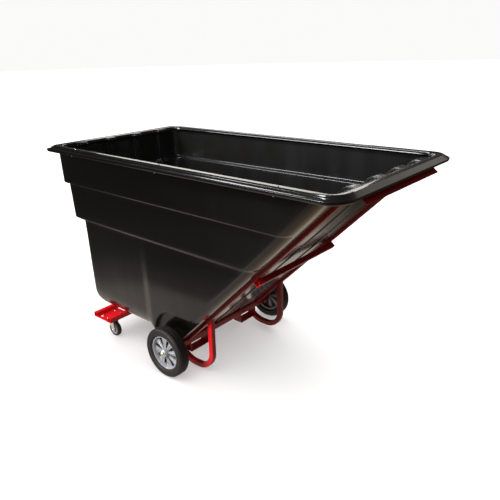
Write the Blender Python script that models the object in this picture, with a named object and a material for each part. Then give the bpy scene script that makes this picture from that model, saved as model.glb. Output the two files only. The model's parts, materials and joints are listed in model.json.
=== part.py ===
"""Tilt truck: a stepped one-piece polyethylene hopper on a welded square-tube frame.

Metres, +Z up, +X toward the sloping dump end, the ground at Z = 0 and the origin under
the middle of the rim. Seen from behind, left is +Y and right is -Y.
"""

import math

import bpy
from mathutils import Matrix, Vector

# Rim and hopper
HALF_WIDTH = 0.502  # inner edge of the rim at mid length
FLARE = 0.018  # the rim widens toward the dump end by this much per metre, each side
REAR_X = -0.999  # inner edge of the rim at the rear
FLAT_X = 0.9880  # inner edge of the rim's flat at the dump end
REAR_RIM_EXTRA = 0.008  # the rim overhangs this much further at the rear than at the sides
WALL = 0.008
SLOPE_X = -0.292  # outer face of the 45 degree wall crosses z = 0 here
INNER_SLOPE_X = SLOPE_X - WALL * math.sqrt(2)
BOTTOM_Z = 0.1785
CREASE_X = -0.367
CREASE_RUN = 0.035
REAR_BOTTOM_RADIUS = 0.13
SIDE_BOTTOM_RADII = (0.14, 0.085)  # behind the crease, ahead of the crease
BULGE = 0.009
CORNER_STEPS = 5

# Ribs moulded into the two end walls: grooves outside, ribs inside
RIB_YS = (-0.330, -0.110, 0.110, 0.330)
REAR_RIB_YS = (-0.320, -0.107, 0.107, 0.320)
GROOVE_DEPTH = 0.024
GROOVE_HALF_WIDTH = 0.0215
GROOVE_TOP_Z = 1.261
REAR_GROOVE_BOTTOM_Z = 0.36

# Frame
TUBE = 0.038
TUBE_WALL = 0.003
GAP = 0.0003
ROOT2 = math.sqrt(2)
RAIL_FACE_X = -0.269  # outer face of the 45 degree rails crosses z = 0 here
RAIL_Y = 0.330
RAIL_TOP_Z = 1.2342
MID_MEMBER_Z = 0.719  # upper inner corner of the middle cross member
MID_TUBE = 0.0318
MEMBER_HALF = 0.349
LIP_SUPPORT = (
    (0.9530, 1.2405), (0.9530, 1.2355), (0.9985, 1.2355), (1.0350, 1.2043), (1.0385, 1.2083), (1.0005, 1.2405),
)
LIP_SUPPORT_HALF = 0.355

# Main wheels
AXLE_X = -0.132
WHEEL_RADIUS = 0.1524
AXLE_Z = WHEEL_RADIUS
TYRE_Y = (0.444, 0.517)
RIM_RADIUS = 0.1045
WEB_FACE_Y = 0.4785  # outer face of the 2.5 mm web behind the spokes
AXLE_RADIUS = 0.0095
HOUSING_HALF = 0.455
WELL_REACH = 0.160  # from the axle back to the rear of each wheel arch
WELL_RISE = 0.232  # from the axle up to the top of each wheel arch
WELL_Y = 0.410

# Rocker loops and fork pockets
LOOP_TUBE = 0.0318
LOOP_Y = 0.3245
LOOP_FRONT_X = 0.0835
LOOP_BOTTOM_Z = 0.035
LOOP_FRONT_RADIUS = 0.112
LOOP_REAR_RADIUS = 0.150
LOOP_REAR_X = -0.060  # the rear bend starts here
POCKET_X = (-0.182, -0.118)
POCKET_Y = (0.155, 0.3082)
POCKET_Z = (0.068, 0.1330)
POCKET_BAR = 0.006

# Casters
BASE_RAIL_Y = 0.269
BASE_RAIL_Z = 0.155
CROSS_TUBE_XS = (-0.861, -0.713)
CROSS_TUBE = 0.0318
CROSS_TUBE_Z = 0.1559
CROSS_TUBE_HALF = 0.468
MOUNT_X = (-0.8447, -0.7293)
MOUNT_Y = (0.305, 0.468)
MOUNT_Z = (0.1400, 0.1460)
SWIVEL_X = -0.792
SWIVEL_Y = 0.390
TRAIL = 0.025
CASTER_RADIUS = 0.0500
CASTER_PLATE_Z = (0.1350, 0.1397)
BOLT_PITCH = (0.060, 0.098)
BOLT_RADIUS = 0.005
BOLT_HOLE = 0.0058

SIDES = (("left", 1), ("right", -1))


# ---------------------------------------------------------------- mesh helpers
def clear_scene():
    for old in list(bpy.data.objects):
        bpy.data.objects.remove(old, do_unlink=True)


def mesh_object(name, vertices, faces, smooth=False):
    mesh = bpy.data.meshes.new(name)
    mesh.from_pydata([tuple(v) for v in vertices], [], faces)
    mesh.validate()
    mesh.polygons.foreach_set("use_smooth", [smooth] * len(mesh.polygons))
    if smooth:
        mesh.set_sharp_from_angle(angle=math.radians(32))
    obj = bpy.data.objects.new(name, mesh)
    bpy.context.scene.collection.objects.link(obj)
    return obj


def ring_faces(rings, count, closed=False):
    """Quads between rings of `count` vertices, each ring following the one before it."""
    faces = []
    steps = rings if closed else rings - 1
    for row in range(steps):
        here = row * count
        there = ((row + 1) % rings) * count
        for i in range(count):
            j = (i + 1) % count
            faces.append((here + i, here + j, there + j, there + i))
    return faces


def loft(name, rings, smooth=False):
    """A solid through the rings, with its first and last ring closed by a flat face."""
    count = len(rings[0])
    vertices = [point for ring in rings for point in ring]
    faces = ring_faces(len(rings), count)
    faces.append(tuple(reversed(range(count))))
    faces.append(tuple(range((len(rings) - 1) * count, len(rings) * count)))
    return mesh_object(name, vertices, faces, smooth)


def box(name, xs, ys, zs):
    bottom = [(xs[0], ys[0], zs[0]), (xs[1], ys[0], zs[0]), (xs[1], ys[1], zs[0]), (xs[0], ys[1], zs[0])]
    top = [(x, y, zs[1]) for x, y, _ in bottom]
    return loft(name, [bottom, top])


def plate_along_y(name, outline, ys):
    """An XZ outline, anticlockwise when seen from -Y, extruded in Y."""
    low, high = min(ys), max(ys)
    near = [(x, low, z) for x, z in outline]
    far = [(x, high, z) for x, z in outline]
    return loft(name, [far, near])


def turned(name, profile, centre, axis="Y", steps=48, smooth=True):
    """A solid of revolution with a bore: (radius, distance along the axis) round a closed outline."""
    vertices = []
    for step in range(steps):
        angle = 2 * math.pi * step / steps
        for radius, along in profile:
            a = radius * math.cos(angle)
            b = radius * math.sin(angle)
            offset = (a, along, b) if axis == "Y" else (a, b, along)
            vertices.append(tuple(c + o for c, o in zip(centre, offset)))
    obj = mesh_object(name, vertices, ring_faces(steps, len(profile), closed=True), smooth)
    face_outwards(obj)
    return obj


def cylinder(name, radius, start, end, steps=24, smooth=True):
    start, end = Vector(start), Vector(end)
    turn = (end - start).to_track_quat("Z", "Y")
    rings = []
    for centre in (start, end):
        rings.append(
            [
                centre + turn @ Vector((radius * math.cos(a), radius * math.sin(a), 0))
                for a in (2 * math.pi * i / steps for i in range(steps))
            ]
        )
    return loft(name, rings, smooth)


def face_outwards(obj):
    """Turns every face round if the closed mesh encloses a negative volume."""
    mesh = obj.data
    volume = 0.0
    for polygon in mesh.polygons:
        points = [mesh.vertices[i].co for i in polygon.vertices]
        for i in range(1, len(points) - 1):
            volume += points[0].dot(points[i].cross(points[i + 1]))
    if volume < 0:
        mesh.flip_normals()


def cutter(obj):
    obj.hide_render = True
    obj.display_type = "WIRE"
    return obj


def combine(target, other, operation):
    modifier = target.modifiers.new(operation.title(), "BOOLEAN")
    modifier.operation = operation
    modifier.solver = "EXACT"
    modifier.object = cutter(other)


def cut(target, other):
    combine(target, other, "DIFFERENCE")


def add(target, other):
    combine(target, other, "UNION")


def square_outline(size, corner, steps=2):
    """Round-cornered square, anticlockwise, centred on the origin."""
    half = size / 2 - corner
    points = []
    for centre, start in (((half, half), 0), ((-half, half), 90), ((-half, -half), 180), ((half, -half), 270)):
        for step in range(steps + 1):
            angle = math.radians(start + 90 * step / steps)
            points.append((centre[0] + corner * math.cos(angle), centre[1] + corner * math.sin(angle)))
    return points


def square_tube(name, stations, size=TUBE, wall=TUBE_WALL, corner=0.004):
    """Tube through stations of (point, tangent, end plane normal or None), its sides square to Y."""
    outlines = (square_outline(size, corner), square_outline(size - 2 * wall, max(corner - wall, 0.001)))
    count = len(outlines[0])
    vertices = []
    for outline in outlines:
        for point, tangent, normal in stations:
            point, tangent = Vector(point), Vector(tangent).normalized()
            if abs(tangent.y) > 0.9:
                first, second = Vector((0, 0, 1)), Vector((1, 0, 0))
            else:
                first, second = Vector((0, 1, 0)), tangent.cross(Vector((0, 1, 0)))
            for a, b in outline:
                offset = first * a + second * b
                if normal is not None:
                    normal = Vector(normal)
                    offset -= tangent * (offset.dot(normal) / tangent.dot(normal))
                vertices.append(point + offset)
    rings = len(stations)
    faces = ring_faces(rings, count)
    shift = rings * count
    faces += [tuple(reversed([i + shift for i in face])) for face in ring_faces(rings, count)]
    last = (rings - 1) * count
    for i in range(count):
        j = (i + 1) % count
        faces.append((j, i, i + shift, j + shift))
        faces.append((last + i, last + j, last + j + shift, last + i + shift))
    obj = mesh_object(name, vertices, faces, smooth=True)
    face_outwards(obj)
    return obj


# ---------------------------------------------------------------- hopper
def half_width(x):
    return HALF_WIDTH + FLARE * x


def bottom_inset(z, radius, floor_z):
    """How far a wall has turned in toward the floor at this height."""
    below = radius - (z - floor_z)
    if below <= 0:
        return 0.0
    return radius - math.sqrt(max(radius * radius - below * below, 0.0))


def bulge(z):
    """The lower tier swells ahead of the crease, and fades out under the ledge."""
    return BULGE * min(max((0.80 - z) / 0.25, 0.0), 1.0)


def side_inset(z, ahead, floor_z, thickness):
    radius = SIDE_BOTTOM_RADII[1 if ahead else 0] - thickness
    turned_in = bottom_inset(z, radius, floor_z) if floor_z is not None else 0.0
    return turned_in - (bulge(z) if ahead else 0.0)


def hopper_ring(z, inset, front_x, radii, floor_z=None, thickness=0.0, rear_out=0.0):
    """One level of the hopper: a rounded rectangle that widens toward the dump end."""
    rear_radius, front_radius = radii
    behind = side_inset(z, False, floor_z, thickness)
    ahead = side_inset(z, True, floor_z, thickness)
    rear_x = REAR_X - rear_out + inset
    if floor_z is not None:
        rear_x += bottom_inset(z, REAR_BOTTOM_RADIUS - thickness, floor_z)
    side = []
    centre_x = rear_x + rear_radius
    centre_y = half_width(centre_x) - inset - behind - rear_radius
    for step in range(CORNER_STEPS + 1):
        angle = math.radians(90 * step / CORNER_STEPS)
        side.append((centre_x - rear_radius * math.cos(angle), centre_y + rear_radius * math.sin(angle)))
    for share in (1 / 3, 2 / 3, 1):
        x = centre_x + (CREASE_X - centre_x) * share
        side.append((x, half_width(x) - inset - behind))
    start_x = CREASE_X + CREASE_RUN
    end_x = front_x - front_radius
    for share in (0, 1 / 3, 2 / 3):
        x = start_x + (end_x - start_x) * share
        side.append((x, half_width(x) - inset - ahead))
    centre_y = half_width(end_x) - inset - ahead - front_radius
    for step in range(CORNER_STEPS + 1):
        angle = math.radians(90 * step / CORNER_STEPS)
        side.append((end_x + front_radius * math.sin(angle), centre_y + front_radius * math.cos(angle)))
    right = [(x, -y, z) for x, y in side]
    left = [(x, y, z) for x, y in reversed(side)]
    return right + left


def wall_levels(offset, slope_x, top, floor_z):
    """Levels shared by the outer and the inner skin: (z, inset, front_x, corner radii)."""
    shift = offset
    levels = [
        (floor_z, 0.066 + shift),
        (floor_z + 0.004, 0.066 + shift),
        (floor_z + 0.013, 0.066 + shift),
        (floor_z + 0.027, 0.066 + shift),
        (floor_z + 0.046, 0.066 + shift),
        (floor_z + 0.070, 0.066 + shift),
        (floor_z + 0.100, 0.066 + shift),
        (floor_z + 0.140, 0.065 + shift),
        (0.500, 0.062 + shift),
        (0.680, 0.060 + shift),
        (0.798 + shift, 0.058 + shift),
        (0.824 + shift, 0.020 + shift),
        (1.040 + shift, 0.014 + shift),
        (1.050 + shift, -0.008 + shift),
        (top, -0.012 + shift),
    ]
    return [(z, inset, z + slope_x) for z, inset in levels]


def outer_solid():
    rings = [
        hopper_ring(z, inset, front_x, (0.060, 0.060), BOTTOM_Z)
        for z, inset, front_x in wall_levels(0.0, SLOPE_X, 1.250, BOTTOM_Z)
    ]
    # Rim: under the flat, down inside the skirt, round its edge and back up to the flat.
    for z, outset, front_x, rear_radius, front_radius in (
        (1.2600, 0.0130, 1.0080, 0.044, 0.081),
        (1.2385, 0.0400, 1.0320, 0.032, 0.093),
        (1.2396, 0.0445, 1.0368, 0.030, 0.095),
        (1.2527, 0.0520, 1.0400, 0.027, 0.098),
        (1.2590, 0.0325, 1.0323, 0.035, 0.090),
        (1.2640, 0.0290, 1.0260, 0.037, 0.088),
        (1.2668, 0.0175, 1.0225, 0.042, 0.083),
        (1.2720, 0.0145, 1.0160, 0.043, 0.082),
        (1.2720, 0.0080, 1.0070, 0.046, 0.079),
    ):
        rings.append(hopper_ring(z, -outset, front_x, (rear_radius, front_radius), rear_out=REAR_RIM_EXTRA))
    return loft("tub", rings, smooth=True)


def inner_void():
    floor_z = BOTTOM_Z + WALL + 0.001
    rings = [
        hopper_ring(z, inset, front_x, (0.052, 0.052), floor_z, WALL)
        for z, inset, front_x in wall_levels(WALL, INNER_SLOPE_X, 1.246, floor_z)
    ]
    # The bead inside the rim, then the inner edge of its flat.
    for z, inset, front_x in (
        (1.2545, 0.0130, 0.9512),
        (1.2585, 0.0148, 0.9560),
        (1.2620, 0.0105, 0.9625),
        (1.2690, 0.0098, 0.9780),
        (1.2720, 0.0060, FLAT_X),
        (1.3000, 0.0060, FLAT_X),
    ):
        rings.append(hopper_ring(z, inset, front_x, (0.050, 0.055)))
    return loft("tub_inside", rings)


def slope_groove(name, y, grow):
    """Groove up the sloping wall; `grow` widens and deepens it into the rib seen from inside."""
    outside = SLOPE_X + (0.030 if grow == 0 else 0.020)
    floor = SLOPE_X - (GROOVE_DEPTH + grow) * ROOT2
    half_mouth = GROOVE_HALF_WIDTH + 0.003 + grow
    half_floor = GROOVE_HALF_WIDTH + grow
    bottom_z, top_z = 0.10, GROOVE_TOP_Z + (0.008 if grow else 0.0)
    rings = []
    for z in (bottom_z, top_z):
        rings.append(
            [
                (z + floor, y - half_floor, z),
                (z + outside, y - half_mouth, z),
                (z + outside, y + half_mouth, z),
                (z + floor, y + half_floor, z),
            ]
        )
    return loft(name, rings)


def rear_groove(name, y, grow):
    """Groove down the rear wall, following its three tiers."""
    depth = GROOVE_DEPTH + grow
    half = GROOVE_HALF_WIDTH - 0.002 + grow
    bottom = REAR_GROOVE_BOTTOM_Z - grow
    top = GROOVE_TOP_Z + (0.008 if grow else 0.0)
    outside = -1.005 if grow else -1.100
    outline = [
        (outside, bottom),
        (REAR_X + 0.066, bottom),
        (REAR_X + 0.062 + depth, bottom + 0.05),
        (REAR_X + 0.058 + depth, 0.798 + grow),
        (REAR_X + 0.020 + depth, 0.824 + grow),
        (REAR_X + 0.014 + depth, 1.040 + grow),
        (REAR_X - 0.008 + depth, 1.050 + grow),
        (REAR_X - 0.012 + depth, top),
        (outside, top),
    ]
    return plate_along_y(name, outline, (y - half, y + half))


def wheel_well(name, side, grow):
    """Wheel arch: a quarter of an ellipse behind the axle, then level forward through the slope."""
    reach, rise = WELL_REACH + grow, WELL_RISE + grow
    outline = [(AXLE_X + 0.45, AXLE_Z + rise), (AXLE_X, AXLE_Z + rise)]
    for step in range(1, 9):
        angle = math.radians(90 + 90 * step / 8)
        outline.append((AXLE_X + reach * math.cos(angle), AXLE_Z + rise * math.sin(angle)))
    outline += [(AXLE_X - reach, 0.05), (AXLE_X + 0.45, 0.05)]
    return plate_along_y(name, outline, (side * (WELL_Y - grow), side * 0.62))


def build_tub():
    tub = outer_solid()
    inside = inner_void()
    for index, y in enumerate(RIB_YS):
        cut(tub, slope_groove(f"groove_{index}", y, 0.0))
        cut(inside, slope_groove(f"rib_{index}", y, WALL))
    for index, y in enumerate(REAR_RIB_YS):
        cut(tub, rear_groove(f"rear_groove_{index}", y, 0.0))
        cut(inside, rear_groove(f"rear_rib_{index}", y, WALL))
    for name, side in SIDES:
        cut(tub, wheel_well(f"well_{name}", side, 0.0))
        cut(inside, wheel_well(f"well_inside_{name}", side, WALL))
    cut(tub, inside)


# ---------------------------------------------------------------- frame
def rail_point(z, depth=0.0):
    """Point on the rails' outer face, or `depth` behind it."""
    offset = depth / ROOT2
    return (z + RAIL_FACE_X - offset, z + offset)


def build_rails():
    housing_top = AXLE_Z + TUBE / 2
    for name, side in SIDES:
        x, z = rail_point(0.0, TUBE / 2)
        low = housing_top + GAP
        start = (x + low - z, side * RAIL_Y, low)
        end = (x + RAIL_TOP_Z - z, side * RAIL_Y, RAIL_TOP_Z)
        up = (1, 0, 1)
        square_tube(f"side_rail_{name}", [(start, up, (0, 0, 1)), (end, up, (0, 0, 1))])


def build_cross_members():
    y_tangent = (0, 1, 0)
    square_tube(
        "lower_cross_member",
        [((AXLE_X, -HOUSING_HALF, AXLE_Z), y_tangent, None), ((AXLE_X, HOUSING_HALF, AXLE_Z), y_tangent, None)],
    )
    member = square_tube(
        "mid_cross_member",
        [((0, -MEMBER_HALF, 0), y_tangent, None), ((0, MEMBER_HALF, 0), y_tangent, None)],
        MID_TUBE,
    )
    member.data.transform(Matrix.Rotation(math.radians(45), 4, "Y"))
    x, z = rail_point(MID_MEMBER_Z, -(GAP + MID_TUBE / 2))
    along = MID_TUBE / 2 / ROOT2
    member.data.transform(Matrix.Translation((x - along, 0, z - along)))
    plate_along_y("upper_cross_member", LIP_SUPPORT, (-LIP_SUPPORT_HALF, LIP_SUPPORT_HALF))


def bend(centre, radius, start, end, steps):
    """Points and tangents round an arc in XZ, turning clockwise seen from -Y."""
    stations = []
    for step in range(steps + 1):
        angle = math.radians(start + (end - start) * step / steps)
        point = (centre[0] + radius * math.cos(angle), centre[1] + radius * math.sin(angle))
        stations.append((point, (math.sin(angle), -math.cos(angle))))
    return stations


def build_loops():
    """U-bent legs: down from each rail, round under the axle line and up behind it."""
    front = (LOOP_FRONT_X - LOOP_FRONT_RADIUS, LOOP_BOTTOM_Z + LOOP_FRONT_RADIUS)
    rear = (LOOP_REAR_X, LOOP_BOTTOM_Z + LOOP_REAR_RADIUS)
    path = bend(front, LOOP_FRONT_RADIUS, 0, -90, 8)
    path += bend(rear, LOOP_REAR_RADIUS, -90, -158, 6)
    top_z = LOOP_FRONT_X - RAIL_FACE_X
    for name, side in SIDES:
        y = side * LOOP_Y
        stations = [((LOOP_FRONT_X + GAP, y, top_z - GAP * 2), (0, 0, -1), (1, 0, -1))]
        for index, ((x, z), (dx, dz)) in enumerate(path):
            last = index == len(path) - 1
            stations.append(((x, y, z), (dx, 0, dz), (0, 0, 1) if last else None))
        square_tube(f"rocker_loop_{name}", stations, LOOP_TUBE, 0.0025, 0.005)


def build_pockets():
    for name, side in SIDES:
        low, high = POCKET_Y
        bottom, top = POCKET_Z
        bar = POCKET_BAR
        outline = [
            (low, top), (low, bottom), (high, bottom), (high, top),
            (high - bar, top), (high - bar, bottom + bar), (low + bar, bottom + bar), (low + bar, top),
        ]
        rings = [[(x, side * y, z) for y, z in outline] for x in POCKET_X]
        face_outwards(loft(f"fork_pocket_{name}", rings))


def build_base_rails():
    start_x = CROSS_TUBE_XS[1] + CROSS_TUBE / 2 + GAP
    end_x = AXLE_X - TUBE / 2 - GAP
    along = (1, 0, 0)
    for name, side in SIDES:
        y = side * BASE_RAIL_Y
        square_tube(
            f"base_rail_{name}",
            [((start_x, y, BASE_RAIL_Z), along, None), ((end_x, y, BASE_RAIL_Z), along, None)],
        )


# ---------------------------------------------------------------- main wheels
def build_axle():
    end = 0.528
    cylinder("axle", AXLE_RADIUS, (AXLE_X, -end, AXLE_Z), (AXLE_X, end, AXLE_Z), steps=24)
    for name, side in SIDES:
        inner = HOUSING_HALF - 0.030
        bush = box(
            f"axle_bush_{name}",
            (AXLE_X - 0.0157, AXLE_X + 0.0157),
            sorted((side * inner, side * HOUSING_HALF)),
            (AXLE_Z - 0.0157, AXLE_Z + 0.0157),
        )
        bore = cylinder(
            f"bush_bore_{name}",
            AXLE_RADIUS + GAP,
            (AXLE_X, min(side * 0.40, side * 0.47), AXLE_Z),
            (AXLE_X, max(side * 0.40, side * 0.47), AXLE_Z),
            steps=24,
        )
        cut(bush, bore)
        washer = [(0.0100, 0.4556), (0.0190, 0.4556), (0.0190, 0.4586), (0.0100, 0.4586)]
        turned(f"axle_washer_{name}", [(r, side * y) for r, y in washer], (AXLE_X, 0, AXLE_Z), steps=24)


def build_tyre(name, side):
    low, high = TYRE_Y
    profile = [
        (RIM_RADIUS + 0.0004, low + 0.008),
        (0.1250, low + 0.001),
        (0.1390, low + 0.0005),
        (0.1475, low + 0.006),
        (0.1512, low + 0.018),
        (WHEEL_RADIUS, (low + high) / 2),
        (0.1512, high - 0.018),
        (0.1475, high - 0.006),
        (0.1390, high - 0.0005),
        (0.1250, high - 0.001),
        (RIM_RADIUS + 0.0004, high - 0.008),
    ]
    turned(f"tyre_{name}", [(r, side * y) for r, y in profile], (AXLE_X, 0, AXLE_Z), steps=48)


def build_hub(name, side):
    """Moulded wheel centre: rim, dished face with eight deep recesses over a thin web, long barrel."""
    rim, inner_rim, barrel, bore = RIM_RADIUS, 0.0940, 0.0270, AXLE_RADIUS + 0.0006
    profile = [
        (bore, 0.4592), (barrel, 0.4592), (barrel, 0.4760),
        (inner_rim, 0.4760), (inner_rim, 0.4560), (rim, 0.4560), (rim, 0.5060),
        (inner_rim, 0.5060), (inner_rim, 0.4880),
        (barrel, 0.4960), (barrel - 0.003, 0.5120), (bore, 0.5120),
    ]
    hub = turned(f"hub_{name}", [(r, side * y) for r, y in profile], (AXLE_X, 0, AXLE_Z), steps=48)
    for index in range(8):
        middle = math.radians(45 * index + 22.5)
        outline = []
        for radius, spread in ((0.036, -11), (0.036, 11), (0.086, 15), (0.086, -15)):
            angle = middle + math.radians(spread)
            outline.append((AXLE_X + radius * math.cos(angle), AXLE_Z + radius * math.sin(angle)))
        recess = plate_along_y(f"recess_{name}_{index}", outline, (side * WEB_FACE_Y, side * 0.52))
        face_outwards(recess)
        cut(hub, recess)


def build_wheels():
    for name, side in SIDES:
        build_tyre(name, side)
        build_hub(name, side)
        cap = [
            (AXLE_RADIUS + GAP, 0.5140), (0.0220, 0.5140), (0.0220, 0.5170),
            (0.0165, 0.5215), (0.0140, 0.5285), (AXLE_RADIUS + GAP, 0.5285),
        ]
        turned(f"hub_cap_{name}", [(r, side * y) for r, y in cap], (AXLE_X, 0, AXLE_Z), steps=24)


# ---------------------------------------------------------------- casters
def bolt_points(side):
    for dx in (-0.5, 0.5):
        for dy in (-0.5, 0.5):
            yield SWIVEL_X + dx * BOLT_PITCH[0], side * SWIVEL_Y + dy * BOLT_PITCH[1]


def build_caster_frame():
    along = (0, 1, 0)
    for name, x in zip(("rear", "front"), CROSS_TUBE_XS):
        square_tube(
            f"caster_tube_{name}",
            [((x, -CROSS_TUBE_HALF, CROSS_TUBE_Z), along, None), ((x, CROSS_TUBE_HALF, CROSS_TUBE_Z), along, None)],
            CROSS_TUBE,
        )
    for name, side in SIDES:
        ys = sorted((side * MOUNT_Y[0], side * MOUNT_Y[1]))
        plate = box(f"caster_mount_{name}", MOUNT_X, ys, MOUNT_Z)
        drill(plate, name, side, "mount", MOUNT_Z)


def drill(plate, name, side, label, zs):
    for index, (x, y) in enumerate(bolt_points(side)):
        hole = cylinder(
            f"{label}_hole_{name}_{index}", BOLT_HOLE, (x, y, zs[0] - 0.01), (x, y, zs[1] + 0.01), steps=8
        )
        cut(plate, hole)


def build_caster_plate(name, side):
    half_x, half_y = 0.042, 0.062
    x, y = SWIVEL_X, side * SWIVEL_Y
    plate = box(f"caster_plate_{name}", (x - half_x, x + half_x), (y - half_y, y + half_y), CASTER_PLATE_Z)
    drill(plate, name, side, "plate", CASTER_PLATE_Z)
    hole = cylinder(f"king_hole_{name}", 0.0064, (x, y, 0.12), (x, y, 0.15), steps=16)
    cut(plate, hole)
    race = [(0.0140, 0.1275), (0.0265, 0.1275), (0.0290, 0.1300), (0.0290, 0.1347), (0.0140, 0.1347)]
    turned(f"caster_race_{name}", race, (x, y, 0), axis="Z", steps=24)
    pin = [(0.0, 0.1090), (0.0100, 0.1090), (0.0100, 0.1140), (0.0060, 0.1140), (0.0060, 0.1390), (0.0, 0.1390)]
    solid_of_revolution(f"kingpin_{name}", pin, (x, y, 0))


def solid_of_revolution(name, profile, centre, steps=16):
    """A turned piece with no bore, its outline starting and ending on the Z axis."""
    rings = []
    for radius, z in profile[1:-1]:
        rings.append(
            [
                (centre[0] + radius * math.cos(a), centre[1] + radius * math.sin(a), centre[2] + z)
                for a in (2 * math.pi * i / steps for i in range(steps))
            ]
        )
    return loft(name, rings, smooth=True)


def build_fork(name, side):
    """Swivel fork: a round crown and two raked legs down to the wheel axle."""
    x, y = SWIVEL_X, side * SWIVEL_Y
    wheel_x, wheel_z = x + TRAIL, CASTER_RADIUS
    crown = [
        (0.0070, 0.1145), (0.0290, 0.1145), (0.0320, 0.1175), (0.0320, 0.1225), (0.0290, 0.1265), (0.0070, 0.1265),
    ]
    fork = turned(f"caster_fork_{name}", crown, (x, y, 0), axis="Z", steps=24)
    outline = [
        (x - 0.025, 0.1200),
        (x - 0.023, 0.1020),
        (wheel_x - 0.013, wheel_z + 0.006),
        (wheel_x - 0.010, wheel_z - 0.010),
        (wheel_x + 0.004, wheel_z - 0.014),
        (wheel_x + 0.014, wheel_z - 0.004),
        (x + 0.030, 0.1000),
        (x + 0.025, 0.1200),
    ]
    for label, inner in (("outer", 0.0185), ("inner", -0.0215)):
        leg = plate_along_y(f"leg_{label}_{name}", outline, (y + inner, y + inner + 0.003))
        face_outwards(leg)
        add(fork, leg)
    hole = cylinder(
        f"fork_hole_{name}", 0.0046, (wheel_x, y - 0.04, wheel_z), (wheel_x, y + 0.04, wheel_z), steps=12
    )
    cut(fork, hole)


def build_caster_wheel(name, side):
    x, y, z = SWIVEL_X + TRAIL, side * SWIVEL_Y, CASTER_RADIUS
    tyre = [
        (0.0372, -0.0145), (0.0450, -0.0155), (0.0485, -0.0125), (CASTER_RADIUS, -0.0060),
        (CASTER_RADIUS, 0.0060), (0.0485, 0.0125), (0.0450, 0.0155), (0.0372, 0.0145),
    ]
    turned(f"caster_tyre_{name}", tyre, (x, y, z), steps=32)
    core = [
        (0.0050, -0.0170), (0.0120, -0.0170), (0.0130, -0.0100), (0.0320, -0.0090), (0.0330, -0.0140),
        (0.0369, -0.0140), (0.0369, 0.0140), (0.0330, 0.0140), (0.0320, 0.0090), (0.0130, 0.0100),
        (0.0120, 0.0170), (0.0050, 0.0170),
    ]
    turned(f"caster_core_{name}", core, (x, y, z), steps=24)
    bolt = [(0, -0.0270), (0.0075, -0.0270), (0.0075, -0.0220), (0.0043, -0.0220), (0.0043, 0.0220),
            (0.0075, 0.0220), (0.0075, 0.0280), (0, 0.0280)]
    axle = solid_of_revolution(f"caster_axle_{name}", bolt, (0, 0, 0), steps=18)
    axle.data.transform(Matrix.Rotation(math.radians(-90), 4, "X"))
    axle.data.transform(Matrix.Translation((x, y, z)))


def build_bolts():
    """Plate bolts: hexagon head above the mount, shank and nut below the caster plate."""
    for name, side in SIDES:
        for index, (x, y) in enumerate(bolt_points(side)):
            levels = [
                (0.0080, MOUNT_Z[1] + 0.0062, 6), (0.0080, MOUNT_Z[1] + GAP, 6),
                (BOLT_RADIUS, MOUNT_Z[1] + GAP, 0), (BOLT_RADIUS, CASTER_PLATE_Z[0] - GAP, 0),
                (0.0080, CASTER_PLATE_Z[0] - GAP, 6), (0.0080, CASTER_PLATE_Z[0] - 0.0083, 6),
            ]
            rings = []
            for radius, z, corners in reversed(levels):
                ring = []
                for i in range(12):
                    angle = math.radians(30 * i)
                    reach = radius
                    if corners and i % 2:
                        reach = radius * math.cos(math.radians(30))
                    ring.append((x + reach * math.cos(angle), y + reach * math.sin(angle), z))
                rings.append(ring)
            loft(f"mount_bolt_{name}_{index + 1}", rings)


def build_casters():
    build_caster_frame()
    for name, side in SIDES:
        build_caster_plate(name, side)
        build_fork(name, side)
        build_caster_wheel(name, side)
    build_bolts()


clear_scene()
build_tub()
build_rails()
build_cross_members()
build_loops()
build_pockets()
build_base_rails()
build_axle()
build_wheels()
build_casters()
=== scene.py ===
import json
import math

import bmesh
import bpy
from mathutils import Matrix, Vector, noise

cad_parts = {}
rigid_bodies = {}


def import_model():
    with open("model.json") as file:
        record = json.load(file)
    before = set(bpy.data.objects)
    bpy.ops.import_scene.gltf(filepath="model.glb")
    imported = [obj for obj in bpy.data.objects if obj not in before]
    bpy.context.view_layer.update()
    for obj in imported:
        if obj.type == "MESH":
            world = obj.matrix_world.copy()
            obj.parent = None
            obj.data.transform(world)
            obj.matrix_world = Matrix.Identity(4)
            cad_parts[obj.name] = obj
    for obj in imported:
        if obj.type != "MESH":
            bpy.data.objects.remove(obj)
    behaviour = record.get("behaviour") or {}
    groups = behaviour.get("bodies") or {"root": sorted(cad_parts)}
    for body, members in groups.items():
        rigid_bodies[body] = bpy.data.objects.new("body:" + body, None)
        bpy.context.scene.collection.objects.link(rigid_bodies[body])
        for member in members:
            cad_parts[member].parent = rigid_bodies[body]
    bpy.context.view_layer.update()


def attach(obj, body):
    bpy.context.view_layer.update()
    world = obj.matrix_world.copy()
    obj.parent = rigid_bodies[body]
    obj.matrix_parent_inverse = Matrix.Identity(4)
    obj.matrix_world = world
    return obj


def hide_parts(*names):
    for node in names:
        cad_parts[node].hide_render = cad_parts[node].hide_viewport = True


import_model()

# Tilt truck in metres: +Z up, +X toward the sloping dump end, left is +Y.
ROOT2 = math.sqrt(2)
SIDES = (("left", 1), ("right", -1))

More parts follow.
